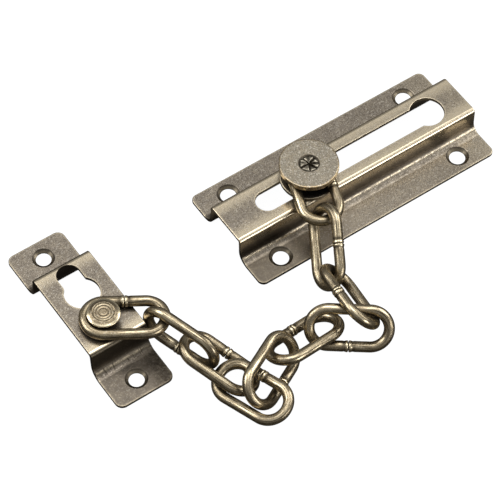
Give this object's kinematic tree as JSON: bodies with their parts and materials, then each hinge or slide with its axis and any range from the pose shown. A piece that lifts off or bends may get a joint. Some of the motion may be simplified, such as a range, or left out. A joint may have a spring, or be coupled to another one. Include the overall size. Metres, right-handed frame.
{
  "type": "door chain guard",
  "caption": "Door chain guard: a slotted track plate with a sliding knob, joined by a wire-link chain to a small keeper plate with a keyhole. Antique bronze finish.",
  "frame": {"origin": "middle of the track plate on its back face, the face that goes against the door", "axes": "+X along the slot towards its keyhole, +Y across the plate, +Z out of the plate"},
  "size_m": [0.1327, 0.0857, 0.0169],
  "materials": {
    "plates": "antique bronze plating on pressed steel, satin, rubbed bright on its bends",
    "chain": "antique bronze plating on steel wire, darker in the joints, rubbed bright on top",
    "knob": "antique bronze plating, satin face with a brassy rim",
    "rivet": "antique bronze plating, dark in the star-punched end",
    "washer": "antique bronze plating, dark",
    "post": "antique bronze plating, turned rings"
  },
  "bodies": {
    "track": {"track_plate": "plates"},
    "slider": {"slide_washer": "washer"},
    "knob": {"knob_head": "knob", "knob_rivet": "rivet"},
    "link_10": {"chain_link_10": "chain"},
    "link_09": {"chain_link_09": "chain"},
    "link_08": {"chain_link_08": "chain"},
    "link_07": {"chain_link_07": "chain"},
    "link_06": {"chain_link_06": "chain"},
    "link_05": {"chain_link_05": "chain"},
    "link_04": {"chain_link_04": "chain"},
    "link_03": {"chain_link_03": "chain"},
    "link_02": {"chain_link_02": "chain"},
    "link_01": {"chain_link_01": "chain"},
    "keeper": {"keeper_plate": "plates", "keeper_post": "post"}
  },
  "joints": [
    {"name": "knob_slide", "type": "slide", "parent": "track", "child": "slider", "axis": [1, 0, 0], "range_m": [-0.0139, 0.035]},
    {"name": "knob_turn", "type": "hinge", "parent": "slider", "child": "knob", "pos_m": [-0.0125, 0, 0], "axis": [0, 0, 1], "continuous": true},
    {"name": "chain_swivel", "type": "hinge", "parent": "slider", "child": "link_10", "pos_m": [-0.0125, 0, 0], "axis": [0, 0, 1], "range_deg": [-12, 56]},
    {"name": "link_09_swing", "type": "hinge", "parent": "link_10", "child": "link_09", "pos_m": [-0.01796, -0.01566, 0.01154], "axis": [0.9455, -0.3256, 0], "range_deg": [-58, 10]},
    {"name": "link_08_swing", "type": "hinge", "parent": "link_09", "child": "link_08", "pos_m": [-0.02431, -0.02691, 0.0069], "axis": [-0.64, 0.1712, 0.7491], "range_deg": [-48, 80]},
    {"name": "link_07_swing", "type": "hinge", "parent": "link_08", "child": "link_07", "pos_m": [-0.02983, -0.04028, 0.00938], "axis": [0.8089, -0.5877, -0.0175], "range_deg": [-88, 44]},
    {"name": "link_06_swing", "type": "hinge", "parent": "link_07", "child": "link_06", "pos_m": [-0.03901, -0.03774, 0.00569], "axis": [0.3963, 0.523, 0.7546], "range_deg": [-88, 16]},
    {"name": "link_05_swing", "type": "hinge", "parent": "link_06", "child": "link_05", "pos_m": [-0.04563, -0.03832, 0.00487], "axis": [-0.2569, 0.6212, 0.7403], "range_deg": [-72, 40]},
    {"name": "link_04_swing", "type": "hinge", "parent": "link_05", "child": "link_04", "pos_m": [-0.06437, -0.04828, 0.00673], "axis": [-0.2569, 0.6212, 0.7403], "range_deg": [-11, 10]},
    {"name": "link_03_swing", "type": "hinge", "parent": "link_04", "child": "link_03", "pos_m": [-0.0659, -0.04233, 0.00475], "axis": [-0.6648, 0.6539, 0.3611], "range_deg": [-2, 4]},
    {"name": "link_02_swing", "type": "hinge", "parent": "link_03", "child": "link_02", "pos_m": [-0.06627, -0.03317, 0.00747], "axis": [-0.0953, 0.0578, -0.9938], "range_deg": [-56, 16]},
    {"name": "link_01_swing", "type": "hinge", "parent": "link_02", "child": "link_01", "pos_m": [-0.07151, -0.01784, 0.01082], "axis": [0.7651, 0.6439, -0.0054], "range_deg": [-3, 88]},
    {"name": "keeper_turn", "type": "hinge", "parent": "link_01", "child": "keeper", "pos_m": [-0.084, -0.0079, 0], "axis": [0, 0, 1], "range_deg": [-50, 0]}
  ]
}
